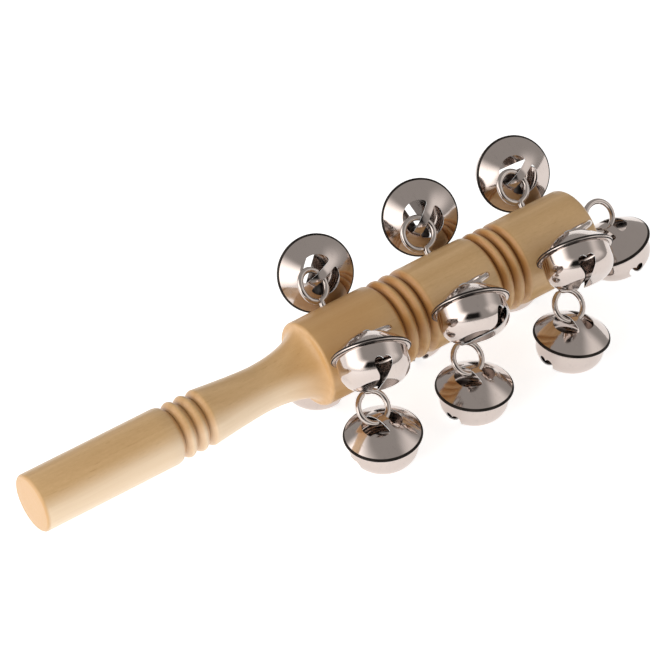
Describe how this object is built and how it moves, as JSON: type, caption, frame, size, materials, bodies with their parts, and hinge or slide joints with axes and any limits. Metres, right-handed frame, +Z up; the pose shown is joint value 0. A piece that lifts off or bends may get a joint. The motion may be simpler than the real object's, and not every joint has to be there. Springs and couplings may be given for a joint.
{
  "type": "jingle stick",
  "caption": "Turned wooden stick with a grip, a waist and a grooved body, set with screw eyes that carry loose pellet bells in rows and at the tip.",
  "frame": {"origin": "centre of the flat butt face of the handle", "axes": "+X along the stick to the end that carries the last bell; -Y to the front; +Z up; the stick lies level and two rows of eyes point up, two down"},
  "size_m": [0.2301, 0.0684, 0.0604],
  "materials": {
    "wood": "pale hardwood, sanded and lightly sealed, darker in the grooves",
    "bell_shell": "bright nickel plate on pressed sheet steel",
    "eye_wire": "nickel plated steel wire",
    "pellet": "dull tumbled steel ball"
  },
  "bodies": {
    "stick": {"turned_stick": "wood", "screw_eye_upper_back_1": "eye_wire", "screw_eye_upper_back_2": "eye_wire", "screw_eye_upper_back_3": "eye_wire", "screw_eye_upper_front_1": "eye_wire", "screw_eye_upper_front_2": "eye_wire", "screw_eye_upper_front_3": "eye_wire", "screw_eye_lower_front_1": "eye_wire", "screw_eye_lower_front_2": "eye_wire", "screw_eye_lower_front_3": "eye_wire", "screw_eye_lower_back_1": "eye_wire", "screw_eye_lower_back_2": "eye_wire", "screw_eye_lower_back_3": "eye_wire", "screw_eye_end": "eye_wire"},
    "bell_upper_back_1": {"dome_upper_back_1": "bell_shell", "bowl_upper_back_1": "bell_shell"},
    "ball_upper_back_1": {"pellet_upper_back_1": "pellet"},
    "bell_upper_back_2": {"dome_upper_back_2": "bell_shell", "bowl_upper_back_2": "bell_shell"},
    "ball_upper_back_2": {"pellet_upper_back_2": "pellet"},
    "bell_upper_back_3": {"dome_upper_back_3": "bell_shell", "bowl_upper_back_3": "bell_shell"},
    "ball_upper_back_3": {"pellet_upper_back_3": "pellet"},
    "bell_upper_front_1": {"dome_upper_front_1": "bell_shell", "bowl_upper_front_1": "bell_shell"},
    "ball_upper_front_1": {"pellet_upper_front_1": "pellet"},
    "bell_upper_front_2": {"dome_upper_front_2": "bell_shell", "bowl_upper_front_2": "bell_shell"},
    "ball_upper_front_2": {"pellet_upper_front_2": "pellet"},
    "bell_upper_front_3": {"dome_upper_front_3": "bell_shell", "bowl_upper_front_3": "bell_shell"},
    "ball_upper_front_3": {"pellet_upper_front_3": "pellet"},
    "bell_lower_front_1": {"dome_lower_front_1": "bell_shell", "bowl_lower_front_1": "bell_shell"},
    "ball_lower_front_1": {"pellet_lower_front_1": "pellet"},
    "bell_lower_front_2": {"dome_lower_front_2": "bell_shell", "bowl_lower_front_2": "bell_shell"},
    "ball_lower_front_2": {"pellet_lower_front_2": "pellet"},
    "bell_lower_front_3": {"dome_lower_front_3": "bell_shell", "bowl_lower_front_3": "bell_shell"},
    "ball_lower_front_3": {"pellet_lower_front_3": "pellet"},
    "bell_lower_back_1": {"dome_lower_back_1": "bell_shell", "bowl_lower_back_1": "bell_shell"},
    "ball_lower_back_1": {"pellet_lower_back_1": "pellet"},
    "bell_lower_back_2": {"dome_lower_back_2": "bell_shell", "bowl_lower_back_2": "bell_shell"},
    "ball_lower_back_2": {"pellet_lower_back_2": "pellet"},
    "bell_lower_back_3": {"dome_lower_back_3": "bell_shell", "bowl_lower_back_3": "bell_shell"},
    "ball_lower_back_3": {"pellet_lower_back_3": "pellet"},
    "bell_end": {"dome_end": "bell_shell", "bowl_end": "bell_shell"},
    "ball_end": {"pellet_end": "pellet"}
  },
  "joints": [
    {"name": "swing_upper_back_1", "type": "hinge", "parent": "stick", "child": "bell_upper_back_1", "pos_m": [0.11782, 0.01722, 0.01515], "axis": [0.3672, -0.5685, -0.7362], "range_deg": [0, 50]},
    {"name": "swing_upper_back_2", "type": "hinge", "parent": "stick", "child": "bell_upper_back_2", "pos_m": [0.15781, 0.01696, 0.01747], "axis": [0.6662, -0.57, -0.481], "range_deg": [0, 155]},
    {"name": "swing_upper_back_3", "type": "hinge", "parent": "stick", "child": "bell_upper_back_3", "pos_m": [0.1961, 0.01707, 0.01616], "axis": [0.4992, -0.559, -0.662], "range_deg": [0, 122]},
    {"name": "swing_upper_front_1", "type": "hinge", "parent": "stick", "child": "bell_upper_front_1", "pos_m": [0.11057, -0.01688, 0.01736], "axis": [0.6403, -0.5813, 0.5021], "range_deg": [-150, 0]},
    {"name": "swing_upper_front_2", "type": "hinge", "parent": "stick", "child": "bell_upper_front_2", "pos_m": [0.14807, -0.01693, 0.01627], "axis": [0.4973, -0.5754, 0.6493], "range_deg": [-122, 0]},
    {"name": "swing_upper_front_3", "type": "hinge", "parent": "stick", "child": "bell_upper_front_3", "pos_m": [0.18885, -0.01698, 0.01644], "axis": [0.5279, -0.567, 0.6323], "range_deg": [-130, 0]},
    {"name": "swing_lower_front_1", "type": "hinge", "parent": "stick", "child": "bell_lower_front_1", "pos_m": [0.11402, -0.01836, -0.01842], "axis": [0.9905, 0.1315, 0.0409], "range_deg": [-131, 41]},
    {"name": "swing_lower_front_2", "type": "hinge", "parent": "stick", "child": "bell_lower_front_2", "pos_m": [0.15029, -0.01841, -0.01842], "axis": [0.9962, 0.0715, -0.0493], "range_deg": [-131, 41]},
    {"name": "swing_lower_front_3", "type": "hinge", "parent": "stick", "child": "bell_lower_front_3", "pos_m": [0.19023, -0.01841, -0.01835], "axis": [0.9874, -0.0691, -0.1423], "range_deg": [-131, 40]},
    {"name": "swing_lower_back_1", "type": "hinge", "parent": "stick", "child": "bell_lower_back_1", "pos_m": [0.11526, 0.0184, -0.01843], "axis": [0.9932, -0.1108, -0.0368], "range_deg": [-41, 130]},
    {"name": "swing_lower_back_2", "type": "hinge", "parent": "stick", "child": "bell_lower_back_2", "pos_m": [0.15252, 0.0184, -0.01843], "axis": [0.9897, 0.123, 0.0737], "range_deg": [-41, 130]},
    {"name": "swing_lower_back_3", "type": "hinge", "parent": "stick", "child": "bell_lower_back_3", "pos_m": [0.19168, 0.01841, -0.01842], "axis": [0.998, -0.0617, -0.0123], "range_deg": [-41, 131]},
    {"name": "swing_end", "type": "hinge", "parent": "stick", "child": "bell_end", "pos_m": [0.21653, -0.00299, -0.00397], "axis": [0.9659, 0.1558, 0.2067], "range_deg": [-70, 20]},
    {"name": "rattle_upper_back_1", "type": "slide", "parent": "bell_upper_back_1", "child": "ball_upper_back_1", "axis": [0, 0, 1], "range_m": [0, 0.0125]},
    {"name": "rattle_upper_back_2", "type": "slide", "parent": "bell_upper_back_2", "child": "ball_upper_back_2", "axis": [0, 0, 1], "range_m": [0, 0.0125]},
    {"name": "rattle_upper_back_3", "type": "slide", "parent": "bell_upper_back_3", "child": "ball_upper_back_3", "axis": [0, 0, 1], "range_m": [0, 0.0125]},
    {"name": "rattle_upper_front_1", "type": "slide", "parent": "bell_upper_front_1", "child": "ball_upper_front_1", "axis": [0, 0, 1], "range_m": [0, 0.0125]},
    {"name": "rattle_upper_front_2", "type": "slide", "parent": "bell_upper_front_2", "child": "ball_upper_front_2", "axis": [0, 0, 1], "range_m": [0, 0.0125]},
    {"name": "rattle_upper_front_3", "type": "slide", "parent": "bell_upper_front_3", "child": "ball_upper_front_3", "axis": [0, 0, 1], "range_m": [0, 0.0125]},
    {"name": "rattle_lower_front_1", "type": "slide", "parent": "bell_lower_front_1", "child": "ball_lower_front_1", "axis": [0, 0, 1], "range_m": [0, 0.0072]},
    {"name": "rattle_lower_front_2", "type": "slide", "parent": "bell_lower_front_2", "child": "ball_lower_front_2", "axis": [0, 0, 1], "range_m": [0, 0.0072]},
    {"name": "rattle_lower_front_3", "type": "slide", "parent": "bell_lower_front_3", "child": "ball_lower_front_3", "axis": [0, 0, 1], "range_m": [0, 0.0072]},
    {"name": "rattle_lower_back_1", "type": "slide", "parent": "bell_lower_back_1", "child": "ball_lower_back_1", "axis": [0, 0, 1], "range_m": [0, 0.0072]},
    {"name": "rattle_lower_back_2", "type": "slide", "parent": "bell_lower_back_2", "child": "ball_lower_back_2", "axis": [0, 0, 1], "range_m": [0, 0.0072]},
    {"name": "rattle_lower_back_3", "type": "slide", "parent": "bell_lower_back_3", "child": "ball_lower_back_3", "axis": [0, 0, 1], "range_m": [0, 0.0072]},
    {"name": "rattle_end", "type": "slide", "parent": "bell_end", "child": "ball_end", "axis": [0, 0, 1], "range_m": [0, 0.008]}
  ]
}
